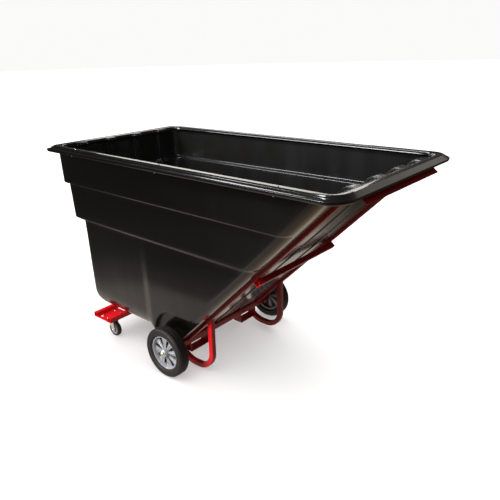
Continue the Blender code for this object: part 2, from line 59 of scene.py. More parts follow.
# Hopper
HALF_WIDTH = 0.502  # at x = 0, under the rim
FLARE = 0.018  # it widens by this much per metre toward the dump end
REAR_X = -0.999
WALL = 0.008
SLOPE_X = -0.292  # where the 45 degree dump end would cross z = 0
FLOOR_Z = 0.1785
TOP_Z = 1.272
CREASE_X = -0.367  # the lower side wall swells from here forward
CREASE_RUN = 0.080
REAR_BOTTOM_RADIUS = 0.13
SIDE_BOTTOM_RADII = (0.14, 0.085)  # behind the crease and ahead of it
BULGE = 0.009
CORNER_RADIUS = 0.060
CORNER_STEPS = 9
RIB_YS = (0.110, 0.330)
REAR_RIB_YS = (0.107, 0.320)
RIB_HALF = 0.0205
RIB_DEPTH = 0.024
REAR_RIB_FADE_Z = (0.36, 0.41)  # the rear ribs grow to their full depth between these heights
WAVE = 0.0011  # how far the moulded walls wander from flat
WAVE_SEED = 5
RIM_FACE_X = 1.0160  # top edge of the dump end's plain sloping rim face
RIM_FACE_RUN = 1.253  # how far that face runs forward per metre down
RIVET_XS = (-0.775, -0.028, 0.722)

# Wheel arches
AXLE_X = -0.132
AXLE_Z = 0.1524
AXLE = (AXLE_X, 0, AXLE_Z)
WELL_REACH = 0.160
WELL_RISE = 0.232
WELL_Y = 0.410
WELL_LIP = 0.009
OUTSIDE_Y = 0.62  # clear of the tub, where the cutters end

# Frame
RAIL_FACE_X = -0.269  # where the rails' outer face would cross z = 0
RAIL_Y = 0.330
RAIL_TOP_Z = 1.2342
TUBE = 0.038
SLIM_TUBE = 0.0318
TUBE_WALL = 0.003
LOOP_WALL = 0.0025
HOUSING_HALF = 0.455
MEMBER_HALF = 0.349
MID_MEMBER_Z = 0.719
LIP_MEMBER_HALF = 0.355
GAP = 0.0003  # between touching pieces
LOOP_Y = 0.3245
LOOP_FRONT_X = 0.0835
LOOP_BOTTOM_Z = 0.035
LOOP_RADII = (0.112, 0.150)
LOOP_REAR_X = -0.060
POCKET_YS = (0.155, 0.3082)
POCKET_ZS = (0.068, 0.1330)
POCKET_XS = (-0.182, -0.118)
POCKET_BAR = 0.006
BASE_RAIL_Y = 0.269
BASE_RAIL_Z = 0.155
CASTER_TUBE_XS = (-0.861, -0.713)
CASTER_TUBE_Z = 0.1559
CASTER_TUBE_HALF = 0.468
MOUNT_XS = (-0.8447, -0.7293)
MOUNT_YS = (0.305, 0.468)
MOUNT_ZS = (0.1400, 0.1460)

# Main wheels
WHEEL_Y = 0.4805
SPOKES = 8
SPOKE_TURN = 10
WEB_YS = (0.4762, 0.4785)
WEB_RADII = (0.0271, 0.0924)

# Casters
SWIVEL_X = -0.792
SWIVEL_Y = 0.390
TRAIL = 0.025
CASTER_RADIUS = 0.050
PLATE_ZS = (0.1350, 0.1397)
BOLT_PITCH = (0.060, 0.098)
WASHER = 0.0014

# Studio
FLOOR_REACH = 60.0
BACKDROP_RADIUS = 58.0
BACKDROP_HEIGHT = 40.0
BACKDROP_SIDES = 48
# Painted reflection: a glowing sheet under the floor that only glossy rays see, standing in for a lit floor
PAINTED_REFLECTION_REACH = 12.0
PAINTED_REFLECTION_Z = -0.004
PAINTED_REFLECTION_SCALE = (0.30, 0.42, 1.0)
WASH_SPREAD = 120
SHADED = (  # pieces in the truck's own shade, which the front lights miss
    "wheel_tyre_left", "wheel_centre_left", "wheel_web_left", "push_cap_left", "loop_left",
    "pocket_left", "pocket_right", "axle_housing",
)


# ---- materials
def add_ramp(tree, source, stops, interpolation="LINEAR"):
    """Maps a value to colours or greys at the given stops."""
    node = tree.nodes.new("ShaderNodeValToRGB")
    node.color_ramp.interpolation = interpolation
    elements = node.color_ramp.elements
    while len(elements) < len(stops):
        elements.new(0.5)
    for element, (position, value) in zip(elements, stops):
        element.position = position
        element.color = (*value, 1) if isinstance(value, tuple) else (value, value, value, 1)
    tree.links.new(source, node.inputs["Fac"])
    return node.outputs["Color"]


def darker(tone, share):
    return tuple(share * channel for channel in tone)


class Finish:
    """A material, with the slot of the record that it stands for."""

    def __init__(self, slot, name, **settings):
        self.slot = slot
        self.material = bpy.data.materials.new(name)
        self.material.use_nodes = True
        self.nodes = self.material.node_tree.nodes
        self.links = self.material.node_tree.links
        self.shader = self.nodes["Principled BSDF"]
        for key, value in settings.items():
            self.shader.inputs[key.replace("_", " ")].default_value = value
        self.place = self.nodes.new("ShaderNodeTexCoord").outputs["Object"]
        self.bumps = None

    def noise(self, scale, detail=3.0, roughness=0.5, stretch=None, distortion=0.0):
        node = self.nodes.new("ShaderNodeTexNoise")
        node.inputs["Scale"].default_value = scale
        node.inputs["Detail"].default_value = detail
        node.inputs["Roughness"].default_value = roughness
        node.inputs["Distortion"].default_value = distortion
        place = self.place
        if stretch:
            mapping = self.nodes.new("ShaderNodeMapping")
            mapping.inputs["Scale"].default_value = stretch
            self.links.new(place, mapping.inputs["Vector"])
            place = mapping.outputs["Vector"]
        self.links.new(place, node.inputs["Vector"])
        return node.outputs["Fac"]

    def ramp(self, source, stops):
        return add_ramp(self.material.node_tree, source, stops)

    def mix(self, share, first, second):
        node = self.nodes.new("ShaderNodeMix")
        node.data_type = "RGBA"
        self.links.new(share, node.inputs["Factor"])
        self.links.new(first, node.inputs["A"])
        self.links.new(second, node.inputs["B"])
        return node.outputs["Result"]

    def colour(self, source):
        self.links.new(source, self.shader.inputs["Base Color"])

    def rough(self, source):
        self.links.new(source, self.shader.inputs["Roughness"])

    def bump(self, height, distance):
        """Adds a height, in metres of relief, to those already there."""
        node = self.nodes.new("ShaderNodeBump")
        node.inputs["Distance"].default_value = distance
        self.links.new(height, node.inputs["Height"])
        if self.bumps:
            self.links.new(self.bumps, node.inputs["Normal"])
        self.bumps = node.outputs["Normal"]
        self.links.new(self.bumps, self.shader.inputs["Normal"])


def polyethylene():
    """Rotationally moulded black: waxy, faintly pitted, with cloudy release marks."""
    made = Finish(
        "polyethylene", "Black polyethylene",
        Specular_IOR_Level=0.15, Coat_Weight=0.9, Coat_Roughness=0.11, Coat_IOR=1.45,
    )
    cloud = made.noise(5.0, 4.0, 0.55, distortion=0.6)
    made.colour(made.ramp(cloud, ((0.25, (0.0026, 0.0023, 0.0021)), (0.75, (0.0042, 0.0038, 0.0034)))))
    streak = made.noise(9.0, 5.0, 0.6, stretch=(1.0, 1.0, 0.22))
    made.rough(made.ramp(streak, ((0.25, 0.34), (0.5, 0.44), (0.75, 0.55))))
    made.bump(made.noise(900.0, 2.0), 0.00006)
    made.bump(made.noise(14.0, 2.0), 0.00035)
    return made


def frame_paint():
    """Red powder coat with its orange peel."""
    made = Finish("frame_paint", "Red powder coat",
                  Specular_IOR_Level=0.28, Coat_Weight=0.06, Coat_Roughness=0.15)
    made.colour(made.ramp(made.noise(16.0, 3.0), ((0.3, (0.68, 0.007, 0.013)), (0.7, (0.78, 0.010, 0.017)))))
    made.rough(made.ramp(made.noise(60.0, 4.0), ((0.3, 0.30), (0.7, 0.42))))
    made.bump(made.noise(380.0, 2.0), 0.00012)
    return made


def tyre_rubber(slot, name, tone):
    made = Finish(slot, name, Specular_IOR_Level=0.35)
    dust = made.noise(30.0, 5.0, 0.65)
    made.colour(made.ramp(dust, ((0.3, darker(tone, 0.75)), (0.7, tone))))
    made.rough(made.ramp(dust, ((0.3, 0.50), (0.7, 0.66))))
    made.bump(made.noise(700.0, 3.0), 0.00012)
    return made


def wheel_centre():
    made = Finish("wheel_centre", "Silver wheel centre", Metallic=0.25, Coat_Weight=0.15)
    made.colour(made.ramp(made.noise(40.0, 4.0), ((0.3, (0.33, 0.34, 0.37)), (0.7, (0.40, 0.41, 0.44)))))
    made.rough(made.ramp(made.noise(120.0, 3.0), ((0.3, 0.34), (0.7, 0.46))))
    made.bump(made.noise(500.0, 2.0), 0.00008)
    return made


def plated(slot, name, cool, warm):
    """Zinc plate: spangled tone, and a trace of the passivate's colour."""
    made = Finish(slot, name, Metallic=1.0)
    spangle = made.noise(220.0, 3.0, 0.7)
    stain = made.ramp(made.noise(55.0, 3.0, distortion=1.2), ((0.45, 0.0), (0.72, 1.0)))
    light = made.ramp(spangle, ((0.3, darker(cool, 0.86)), (0.7, cool)))
    tinted = made.ramp(spangle, ((0.3, darker(warm, 0.86)), (0.7, warm)))
    made.colour(made.mix(stain, light, tinted))
    made.rough(made.ramp(spangle, ((0.3, 0.24), (0.7, 0.38))))
    made.bump(made.noise(900.0, 2.0), 0.00004)
    return made


def plain_plastic(slot, name, tone, roughness):
    made = Finish(slot, name)
    made.colour(made.ramp(made.noise(50.0, 4.0), ((0.3, darker(tone, 0.85)), (0.7, tone))))
    made.rough(made.ramp(made.noise(90.0, 3.0), ((0.3, roughness), (0.7, roughness + 0.12))))
    made.bump(made.noise(600.0, 2.0), 0.00008)
    return made


PLASTIC = polyethylene()
PAINT = frame_paint()
TYRE = tyre_rubber("tyre", "Tyre rubber", (0.013, 0.011, 0.010))
CENTRE = wheel_centre()
ZINC = plated("zinc", "Zinc plate", (0.80, 0.83, 0.85), (0.78, 0.74, 0.62))
STEEL = plated("axle_steel", "Yellow zinc steel", (0.74, 0.66, 0.50), (0.70, 0.56, 0.38))
BUSHING = plain_plastic("bushing", "Acetal bush", (0.60, 0.58, 0.52), 0.40)
CASTER_RUBBER = tyre_rubber("caster_rubber", "Caster rubber", (0.014, 0.012, 0.011))
CASTER_CENTRE = plain_plastic("caster_centre", "Caster centre", (0.20, 0.20, 0.20), 0.42)


# ---- mesh helpers
def fillet(points, steps=4):
    """Open polyline of (a, b) or (a, b, radius), with an arc at each given radius."""
    out = [tuple(points[0][:2])]
    for before, here, after in zip(points, points[1:], points[2:]):
        corner = Vector(here[:2])
        if len(here) < 3:
            out.append(tuple(corner))
            continue
        back = Vector(before[:2]) - corner
        on = Vector(after[:2]) - corner
        half = back.angle(on) / 2
        reach = min(here[2] / math.tan(half), 0.46 * back.length, 0.46 * on.length)
        radius = reach * math.tan(half)
        back.normalize()
        on.normalize()
        centre = corner + (back + on).normalized() * (radius / math.sin(half))
        start = corner + back * reach - centre
        end = corner + on * reach - centre
        sweep = start.angle(end)
        for step in range(steps + 1):
            share = step / steps
            first = math.sin((1 - share) * sweep) / math.sin(sweep)
            second = math.sin(share * sweep) / math.sin(sweep)
            out.append(tuple(centre + start * first + end * second))
    out.append(tuple(points[-1][:2]))
    return out


def subdivide(points, longest):
    """Adds points so that no stretch of the polyline is longer than this."""
    out = [points[0]]
    for a, b in zip(points, points[1:]):
        count = max(1, math.ceil(math.dist(a, b) / longest))
        for i in range(1, count + 1):
            out.append(tuple(p + (q - p) * i / count for p, q in zip(a, b)))
    return out


def smooth_step(value):
    value = min(max(value, 0.0), 1.0)
    return value * value * (3 - 2 * value)


class Shape:
    """Closed shells gathered into one mesh."""

    def __init__(self):
        self.vertices = []
        self.faces = []

    def loft(self, rings, capped=True, closed=False):
        start = len(self.vertices)
        count = len(rings[0])
        for ring in rings:
            self.vertices.extend(Vector(p) for p in ring)
        for row in range(len(rings) if closed else len(rings) - 1):
            here = start + row * count
            there = start + ((row + 1) % len(rings)) * count
            for i in range(count):
                j = (i + 1) % count
                self.faces.append((here + i, here + j, there + j, there + i))
        if capped and not closed:
            last = start + (len(rings) - 1) * count
            self.faces.append(tuple(range(start + count - 1, start - 1, -1)))
            self.faces.append(tuple(range(last, last + count)))
        return self

    def turned(self, profile, centre, axis="Y", steps=64, bored=True):
        """(radius, distance along the axis) turned about it; not bored means capped at both ends."""
        def ring_point(radius, along, angle):
            a, b = radius * math.cos(angle), radius * math.sin(angle)
            return Vector(centre) + Vector((a, along, b) if axis == "Y" else (a, b, along))
        angles = [2 * math.pi * i / steps for i in range(steps)]
        if bored:
            return self.loft([[ring_point(r, d, a) for r, d in profile] for a in angles], closed=True)
        return self.loft([[ring_point(r, d, a) for a in angles] for r, d in profile])

    def prism(self, outline, low, high, axis="Y"):
        """An outline pushed from low to high: XZ along Y, XY along Z or YZ along X."""
        def place(a, b, along):
            return {"Y": (a, along, b), "Z": (a, b, along), "X": (along, a, b)}[axis]
        return self.loft([[place(a, b, low) for a, b in outline], [place(a, b, high) for a, b in outline]])

    def square_tube(self, stations, size, wall, corner=0.004):
        """Hollow tube through (point, tangent, end plane normal or None)."""
        rings = []
        for side, radius in ((size / 2, corner), (size / 2 - wall, corner * 0.4)):
            outline = rounded_rectangle(side, side, radius, 4)
            for point, tangent, normal in stations:
                rings.append(tube_ring(outline, Vector(point), Vector(tangent).normalized(), normal))
        half = len(stations)
        return self.loft(rings[:half] + rings[:half - 1:-1], closed=True)

    def bead(self, points, radius):
        """Weld bead along a polyline, with the ripple of each stitch."""
        path = subdivide([tuple(p) for p in points], radius * 0.45)
        rings = []
        for i, point in enumerate(path):
            ahead = Vector(path[min(i + 1, len(path) - 1)]) - Vector(path[max(i - 1, 0)])
            turn = ahead.to_track_quat("Z", "Y")
            size = radius * (0.86 + 0.14 * math.sin(i * 1.6))
            if i in (0, len(path) - 1):
                size *= 0.45
            around = [2 * math.pi * k / 8 for k in range(8)]
            offsets = [Vector((size * math.cos(a), size * math.sin(a), 0)) for a in around]
            rings.append([Vector(point) + turn @ offset for offset in offsets])
        return self.loft(rings)

    def move(self, matrix):
        self.vertices = [matrix @ v for v in self.vertices]

    def mesh(self, name):
        """The mesh, with its faces turned outward."""
        mesh = bpy.data.meshes.new(name)
        mesh.from_pydata(self.vertices, [], self.faces)
        work = bmesh.new()
        work.from_mesh(mesh)
        bmesh.ops.recalc_face_normals(work, faces=work.faces)
        work.to_mesh(mesh)
        work.free()
        return mesh


def rounded_rectangle(half_a, half_b, radius, steps):
    inner_a, inner_b = half_a - radius, half_b - radius
    corners = ((inner_a, inner_b), (-inner_a, inner_b), (-inner_a, -inner_b), (inner_a, -inner_b))
    outline = []
    for index, (a, b) in enumerate(corners):
        for step in range(steps + 1):
            angle = math.pi / 2 * (index + step / steps)
            outline.append((a + radius * math.cos(angle), b + radius * math.sin(angle)))
    return outline


def tube_ring(outline, point, tangent, normal):
    """The outline across the tube at this point, slid along it onto the end plane if there is one."""
    if abs(tangent.y) > 0.9:
        first, second = Vector((0, 0, 1)), Vector((1, 0, 0))
    else:
        first, second = Vector((0, 1, 0)), tangent.cross(Vector((0, 1, 0)))
    ring = []
    for a, b in outline:
        offset = first * a + second * b
        if normal:
            plane = Vector(normal)
            offset -= tangent * (offset.dot(plane) / tangent.dot(plane))
        ring.append(point + offset)
    return ring


def new_object(name, data):
    obj = bpy.data.objects.new(name, data)
    bpy.context.scene.collection.objects.link(obj)
    return obj


def place(shape, name, body, finish, stands_for=(), bevel=0.0, sharp=34):
    dress(shape.mesh(name), name, body, finish, stands_for, bevel, sharp)


def dress(mesh, name, body, finish, stands_for=(), bevel=0.0, sharp=34):
    """Makes the object: its finish, its edges rounded, the body it rides on and the nodes it replaces."""
    mesh.shade_smooth()
    mesh.set_sharp_from_angle(angle=math.radians(sharp))
    mesh.materials.append(finish.material)
    obj = new_object(name, mesh)
    if bevel:
        edges = obj.modifiers.new("Edges", "BEVEL")
        edges.width = bevel
        edges.segments = 2
        edges.limit_method = "ANGLE"
        edges.angle_limit = math.radians(sharp)
        edges.harden_normals = True
    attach(obj, body)
    if stands_for:
        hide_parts(*stands_for)


# ---- hopper
def half_width(x):
    return HALF_WIDTH + FLARE * x


def turned_in(z, radius, floor_z):
    """How far a wall has turned in toward the floor at this height."""
    below = radius - (z - floor_z)
    return 0.0 if below <= 0 else radius - math.sqrt(max(radius * radius - below * below, 0.0))


def side_inset(x, z, skin, floor_z):
    """Inward offset of a side wall: rounded below, and swollen ahead of the crease."""
    behind = turned_in(z, SIDE_BOTTOM_RADII[0] - skin, floor_z)
    ahead = turned_in(z, SIDE_BOTTOM_RADII[1] - skin, floor_z)
    ahead -= BULGE * min(max((0.80 - z) / 0.25, 0.0), 1.0)
    return behind + (ahead - behind) * smooth_step((x - CREASE_X) / CREASE_RUN)


def end_wall(centres, skin):
    """Half an end wall from its middle outward, as (y, depth): the ribs' section."""
    half = RIB_HALF + skin
    points = [(0.0, 0.0)]
    for centre in centres:
        points += [
            (centre - half - 0.012, 0.0),
            (centre - half - 0.004, 0.0, 0.005),
            (centre - half, RIB_DEPTH, 0.006),
            (centre + half, RIB_DEPTH, 0.006),
            (centre + half + 0.004, 0.0, 0.005),
            (centre + half + 0.012, 0.0),
        ]
    return fillet(points)


def squeeze(y, end, natural):
    """Draws the outer part of an end wall in where the corner starts nearer the middle."""
    keep = 0.15
    if end >= natural or y <= keep:
        return y
    return keep + (y - keep) * (end - keep) / (natural - keep)


def end_points(x, end_y, centres, skin, depth_share):
    """Half an end wall at x, from its middle to where the corner starts."""
    section = end_wall(centres, skin)
    natural = section[-1][0] + 0.004
    points = [(x + depth * depth_share, squeeze(y, end_y, natural)) for y, depth in section]
    last = points[-1][1]
    return points + [(x, last + (end_y - last) * share) for share in (0.33, 0.67)]


def hopper_ring(z, inset, front_x, radii, ribs, skin=0.0, floor_z=FLOOR_Z, rear_out=0.0):
    """One level of the hopper, from the middle of the rear wall round to the dump end and back.

    Radii are the corners' and ribs the share of the ribs' full depth, each at the rear and at the dump end.
    """
    def side_y(x):
        return half_width(x) - inset - side_inset(x, z, skin, floor_z)
    rear_radius, front_radius = radii
    rear_x = REAR_X - rear_out + inset + turned_in(z, REAR_BOTTOM_RADIUS - skin, floor_z)
    start_x = rear_x + rear_radius
    end_x = front_x - front_radius
    swollen_x = CREASE_X + CREASE_RUN
    rear_y = side_y(start_x) - rear_radius
    front_y = side_y(end_x) - front_radius
    angles = [math.pi / 2 * step / CORNER_STEPS for step in range(CORNER_STEPS + 1)]
    half = end_points(rear_x, rear_y, REAR_RIB_YS, skin, ribs[0])
    half += [(start_x - rear_radius * math.cos(a), rear_y + rear_radius * math.sin(a)) for a in angles]
    stops = [start_x + (CREASE_X - start_x) * i / 12 for i in range(1, 13)]
    stops += [CREASE_X + CREASE_RUN * i / 7 for i in range(1, 8)]
    stops += [swollen_x + (end_x - swollen_x) * i / 22 for i in range(1, 22)]
    half += [(x, side_y(x)) for x in stops]
    half += [(end_x + front_radius * math.sin(a), front_y + front_radius * math.cos(a)) for a in angles]
    half += reversed(end_points(front_x, front_y, RIB_YS, skin, -ROOT2 * ribs[1]))
    right = [(x, -y, z) for x, y in half]
    left = [(x, y, z) for x, y in reversed(half)]
    return right + left[1:-1]


def wall_rings(skin, top):
    """The hopper's wall from the floor up, with its two ledges."""
    floor_z = FLOOR_Z + (skin + 0.001 if skin else 0.0)
    slope_x = SLOPE_X - skin * ROOT2
    bend = SIDE_BOTTOM_RADII[0]
    levels = [(0.066, floor_z + bend * (1 - math.cos(math.pi / 2 * i / 14))) for i in range(14)]
    ledges = fillet([
        (0.0655, floor_z + bend),
        (0.062, 0.500),
        (0.060, 0.680),
        (0.058, 0.798 + skin, 0.007),
        (0.020, 0.824 + skin, 0.009),
        (0.014, 1.040 + skin, 0.005),
        (-0.008, 1.050 + skin, 0.007),
        (-0.012, top),
    ])
    levels += subdivide(ledges, 0.024)
    low, high = REAR_RIB_FADE_Z
    radii = (CORNER_RADIUS - skin, CORNER_RADIUS - skin)
    rings = []
    for inset, z in levels:
        ribs = (smooth_step((z - low) / (high - low)), 1.0)
        rings.append(hopper_ring(z, inset + skin, z + slope_x, radii, ribs, skin, floor_z))
    return rings


def rim_ring(z, outset, front_x):
    """One line of the rim; the rear skirt is steeper than those of the sides."""
    radii = (0.0500 - 0.45 * outset, 0.0750 + 0.45 * outset)
    rear_out = 0.006 + 0.014 * smooth_step((z - 1.2530) / 0.017)
    return hopper_ring(z, -outset, front_x, radii, (0.0, 0.0), rear_out=rear_out)


def rim_rings():
    """Under the flat, down inside the skirt, round its edge, up its two steps and over to the flat.

    The steps run along the sides and the rear; the dump end has one plain sloping face instead.
    """
    inside = ((0.0130, 1.2600, 1.0080), (0.0300, 1.2560, 1.0200), (0.0420, 1.2400, 1.0310))
    edge = (
        (0.0435, 1.2386, 1.0325), (0.0455, 1.2383, 1.0352), (0.0478, 1.2394, 1.0368),
        (0.0500, 1.2432, 1.0385), (0.0515, 1.2490, 1.0402), (0.0520, 1.2530, 1.0400),
    )
    steps = (
        (0.0513, 1.2550), (0.0498, 1.2560), (0.0410, 1.2578), (0.0340, 1.2594),
        (0.0325, 1.2603), (0.0318, 1.2638), (0.0303, 1.2650), (0.0265, 1.2660), (0.0225, 1.2669),
        (0.0213, 1.2678), (0.0207, 1.2706), (0.0190, TOP_Z),
    )
    rings = [rim_ring(z, outset, front_x) for outset, z, front_x in inside + edge]
    rings += [rim_ring(z, outset, RIM_FACE_X + (TOP_Z - z) * RIM_FACE_RUN) for outset, z in steps]
    rings.append(rim_ring(TOP_Z, 0.0080, RIM_FACE_X - 0.0090))
    return rings


def mouth_rings():
    """The top of the hollow: the bead inside the rim, the ribs' caps, then the flat's inner edge."""
    rings = []
    for z, outset, front_x, front_radius, ribs in (
        (1.2480, 0.0020, 0.9447, 0.053, 1.0),
        (1.2515, -0.0060, 0.9482, 0.053, 1.0),
        (1.2545, -0.0130, 0.9512, 0.052, 1.0),
        (1.2575, -0.0148, 0.9545, 0.052, 1.0),
        (1.2598, -0.0138, 0.9580, 0.052, 1.0),
        (1.2612, -0.0105, 0.9605, 0.052, 1.0),
        (1.2660, -0.0100, 0.9680, 0.053, 1.0),
        (1.2690, -0.0096, 0.9760, 0.054, 0.97),
        (1.2704, -0.0088, 0.9830, 0.055, 0.90),
        (1.2709, -0.0080, 0.9850, 0.056, 0.0),
        (1.2716, -0.0070, 0.9875, 0.056, 0.0),
        (1.2723, -0.0050, 0.9900, 0.057, 0.0),
        (1.3000, -0.0050, 0.9900, 0.057, 0.0),
    ):
        rings.append(hopper_ring(z, -outset, front_x, (0.0535, front_radius), (ribs, ribs), WALL))
    return rings


def well_outline(grow):
    """Wheel arch: a quarter of an ellipse behind the axle, then level forward through the slope."""
    reach, rise = WELL_REACH + grow, WELL_RISE + grow
    top = AXLE_Z + rise
    below = 0.05
    ahead = 0.45
    outline = [(AXLE_X + ahead, below), (AXLE_X + ahead, top)]
    outline += [(AXLE_X + ahead * share, top) for share in (0.8, 0.6, 0.4, 0.2)]
    for step in range(21):
        angle = math.pi / 2 * (1 + step / 20)
        outline.append((AXLE_X + reach * math.cos(angle), AXLE_Z + rise * math.sin(angle)))
    return outline + [(AXLE_X - reach, below)]


def offset_outline(outline, distance):
    """The outline moved outward by this much, corner by corner."""
    moved = []
    count = len(outline)
    for i, point in enumerate(outline):
        before = Vector(point) - Vector(outline[i - 1])
        after = Vector(outline[(i + 1) % count]) - Vector(point)
        normal = Vector((before.y, -before.x)).normalized() + Vector((after.y, -after.x)).normalized()
        moved.append(tuple(Vector(point) + normal.normalized() * distance))
    return moved


def wall_y(x, z):
    """Outer face of a side wall in the lower tier."""
    return half_width(x) - 0.064 - side_inset(x, z, 0.0, FLOOR_Z)


def well_start(side, outline, y, radius, steps):
    """The face of the recess, with the corner round it rounded."""
    rings = []
    for step in range(steps):
        angle = math.pi / 2 * step / steps
        ring = offset_outline(outline, -radius * (1 - math.sin(angle)))
        rings.append([(x, side * (y + radius * (1 - math.cos(angle))), z) for x, z in ring])
    return rings


def well_cutter(side):
    """Arch recess, its mouth flared into a rounded lip."""
    outline = well_outline(0.0)
    rings = well_start(side, outline, WELL_Y, 0.010, 4)
    for step in range(6):
        angle = math.pi / 2 * step / 6
        ring = []
        for x, z in offset_outline(outline, WELL_LIP * (1 - math.cos(angle))):
            y = max(wall_y(x, max(z, FLOOR_Z)), WELL_Y + 0.024)
            ring.append((x, side * (y - WELL_LIP * (1 - math.sin(angle))), z))
        rings.append(ring)
    rings.append([(x, side * OUTSIDE_Y, z) for x, _, z in rings[-1]])
    return Shape().loft(rings)


def well_inside(side):
    """What the recess takes out of the hollow, one wall thicker all round."""
    outline = well_outline(WALL)
    rings = well_start(side, outline, WELL_Y - WALL, 0.018, 5)
    rings += [[(x, side * y, z) for x, z in outline] for y in (WELL_Y + 0.012, OUTSIDE_Y)]
    return Shape().loft(rings)


def cut(target, other):
    step = target.modifiers.new(other.name, "BOOLEAN")
    step.operation = "DIFFERENCE"
    step.solver = "EXACT"
    step.object = other


def build_tub():
    """The outer body less the hollow, with both wheel arches pressed in."""
    helpers = []

    def solid(shape, name):
        helpers.append(new_object(name, shape.mesh(name)))
        return helpers[-1]

    outer = solid(Shape().loft(wall_rings(0.0, 1.2500) + rim_rings()), "outer")
    hollow = solid(Shape().loft(wall_rings(WALL, 1.2440) + mouth_rings()), "hollow")
    for name, side in SIDES:
        cut(outer, solid(well_cutter(side), f"well_{name}"))
        cut(hollow, solid(well_inside(side), f"inside_{name}"))
    cut(outer, hollow)
    graph = bpy.context.evaluated_depsgraph_get()
    mesh = bpy.data.meshes.new_from_object(outer.evaluated_get(graph))
    for obj in helpers:
        bpy.data.objects.remove(obj)
    noise.seed_set(WAVE_SEED)
    for vertex in mesh.vertices:
        fade = smooth_step((TOP_Z - 0.02 - vertex.co.z) / 0.2)
        wave = noise.noise_vector(vertex.co * 3.2) * WAVE * fade
        vertex.co += Vector((wave.x, wave.y, 0.0))
    dress(mesh, "tub_shell", "truck", PLASTIC, ["tub"], sharp=38)


def build_rivets():
    """Pairs of rivets through the rim: one on the flat, one under the skirt's edge."""
    rivets = Shape()
    head = [(0.0001, 0.0022), (0.0022, 0.0019), (0.0038, 0.0010), (0.0044, 0.0), (0.0044, -0.0010)]
    for x in RIVET_XS:
        for _, side in SIDES:
            y = side * (half_width(x) + 0.0125)
            rivets.turned(head, (x, y, TOP_Z), axis="Z", steps=16, bored=False)
            y = side * (half_width(x) + 0.0450)
            rivets.turned([(r, -h) for r, h in head], (x, y, 1.2376), axis="Z", steps=16, bored=False)
    place(rivets, "rim_rivets", "truck", ZINC)


# ---- frame
def build_rails():
    x, z = RAIL_FACE_X - TUBE / 2 / ROOT2, TUBE / 2 / ROOT2
    low = AXLE_Z + TUBE / 2 + GAP
    for name, side in SIDES:
        y = side * RAIL_Y
        ends = [(x + low - z, y, low), (x + RAIL_TOP_Z - z, y, RAIL_TOP_Z)]
        rail = Shape().square_tube([(end, (1, 0, 1), (0, 0, 1)) for end in ends], TUBE, TUBE_WALL)
        place(rail, f"rail_{name}", "truck", PAINT, [f"side_rail_{name}"])


def tube_along_y(x, z, half, size):
    return Shape().square_tube([((x, y, z), (0, 1, 0), None) for y in (-half, half)], size, TUBE_WALL)


def build_cross_members():
    lower = tube_along_y(AXLE_X, AXLE_Z, HOUSING_HALF, TUBE)
    place(lower, "axle_housing", "truck", PAINT, ["lower_cross_member"])
    member = tube_along_y(0, 0, MEMBER_HALF, SLIM_TUBE)
    outward = (GAP + SLIM_TUBE / 2) / ROOT2
    along = SLIM_TUBE / 2 / ROOT2
    middle = (MID_MEMBER_Z + RAIL_FACE_X + outward - along, 0, MID_MEMBER_Z - outward - along)
    member.move(Matrix.Translation(middle) @ Matrix.Rotation(math.pi / 4, 4, "Y"))
    place(member, "slope_member", "truck", PAINT, ["mid_cross_member"])
    outline = fillet([
        (0.9530, 1.2405),
        (0.9530, 1.2355),
        (0.9985, 1.2355, 0.004),
        (1.0350, 1.2043),
        (1.0385, 1.2083),
        (1.0005, 1.2405, 0.006),
        (0.9535, 1.2405),
    ], 5)
    plate = Shape().prism(outline, -LIP_MEMBER_HALF, LIP_MEMBER_HALF)
    place(plate, "lip_member", "truck", PAINT, ["upper_cross_member"], bevel=0.0008)


def arc(centre, radius, start, end, steps):
    """Stations round a bend in XZ."""
    stations = []
    for step in range(steps + 1):
        angle = math.radians(start + (end - start) * step / steps)
        point = (centre[0] + radius * math.cos(angle), centre[1] + radius * math.sin(angle))
        stations.append((point, (math.sin(angle), -math.cos(angle))))
    return stations


def build_loops():
    front_radius, rear_radius = LOOP_RADII
    path = arc((LOOP_FRONT_X - front_radius, LOOP_BOTTOM_Z + front_radius), front_radius, 0, -90, 22)
    path += arc((LOOP_REAR_X, LOOP_BOTTOM_Z + rear_radius), rear_radius, -90, -158, 16)
    for name, side in SIDES:
        y = side * LOOP_Y
        top = (LOOP_FRONT_X + GAP, y, LOOP_FRONT_X - RAIL_FACE_X - 2 * GAP)
        stations = [(top, (0, 0, -1), (1, 0, -1))]
        for index, ((x, z), (dx, dz)) in enumerate(path):
            last = index == len(path) - 1
            stations.append(((x, y, z), (dx, 0, dz), (0, 0, 1) if last else None))
        loop = Shape().square_tube(stations, SLIM_TUBE, LOOP_WALL, 0.005)
        place(loop, f"loop_{name}", "truck", PAINT, [f"rocker_loop_{name}"])


def build_pockets():
    low, high = POCKET_YS
    bottom, top = POCKET_ZS
    in_low, in_high, in_bottom = low + POCKET_BAR, high - POCKET_BAR, bottom + POCKET_BAR
    for name, side in SIDES:
        outline = fillet([
            (low, top), (low, bottom, 0.010), (high, bottom, 0.010), (high, top),
            (in_high, top), (in_high, in_bottom, 0.004), (in_low, in_bottom, 0.004), (in_low, top),
        ], 5)
        pocket = Shape().prism([(side * y, z) for y, z in outline], *POCKET_XS, axis="X")
        place(pocket, f"pocket_{name}", "truck", PAINT, [f"fork_pocket_{name}"], bevel=0.0008)


